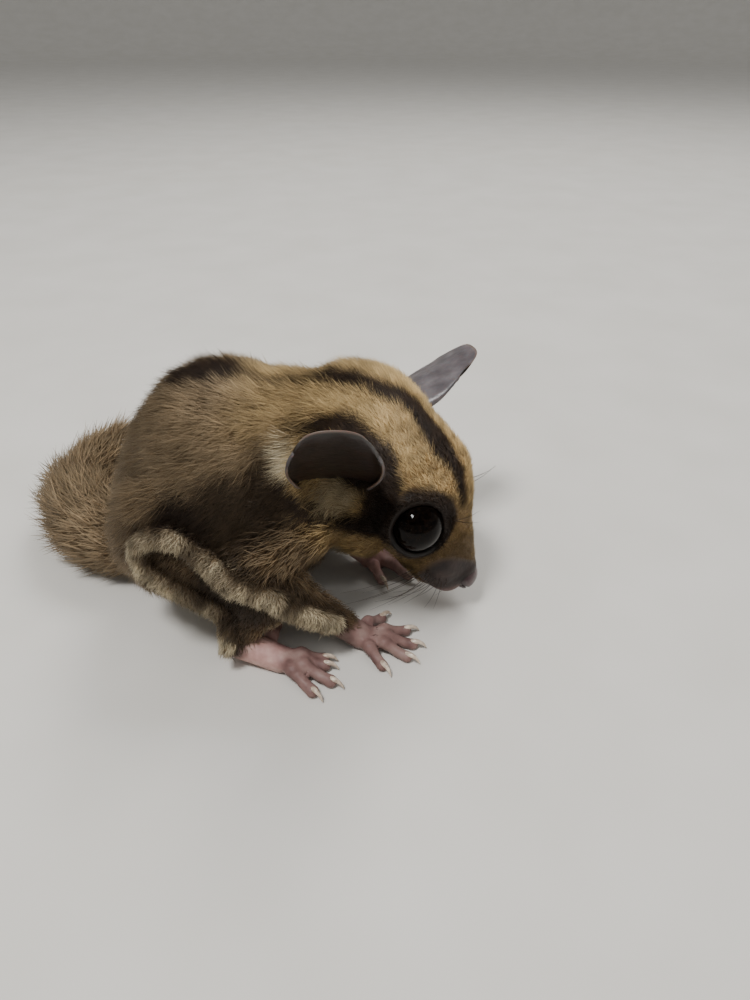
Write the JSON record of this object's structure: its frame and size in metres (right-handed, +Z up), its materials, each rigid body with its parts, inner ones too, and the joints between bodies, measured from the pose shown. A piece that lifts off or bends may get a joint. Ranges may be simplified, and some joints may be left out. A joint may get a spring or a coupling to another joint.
{
  "type": "sugar glider",
  "caption": "Still, life-size model of a young sugar glider crouched on its four feet, nose low, with its bushy tail laid round its far side.",
  "frame": {"origin": "on the floor, below the middle of the part's box", "axes": "+Z up, the trunk faces +X, so the animal's left is +Y"},
  "size_m": [0.0814, 0.0748, 0.0445],
  "materials": {
    "coat": "dense short fur, grizzled grey-brown to tan with dark brown stripe",
    "pale_coat": "soft cream fringe of fur",
    "bare_skin": "naked pink skin with pale claws",
    "nose_skin": "naked dark mauve skin",
    "ear_skin": "thin naked grey-mauve skin, slightly glossy",
    "eye": "glossy black"
  },
  "bodies": {
    "root": {"head": "coat", "neck": "coat", "torso": "coat", "arm_right": "coat", "arm_left": "coat", "leg_right": "coat", "leg_left": "coat", "tail_base": "coat", "tail_middle": "coat", "tail_tip": "coat", "membrane_right": "pale_coat", "membrane_left": "pale_coat", "hand_right": "bare_skin", "hand_left": "bare_skin", "foot_right": "bare_skin", "foot_left": "bare_skin", "nose": "nose_skin", "ear_right": "ear_skin", "ear_left": "ear_skin", "eye_right": "eye", "eye_left": "eye"}
  },
  "joints": []
}
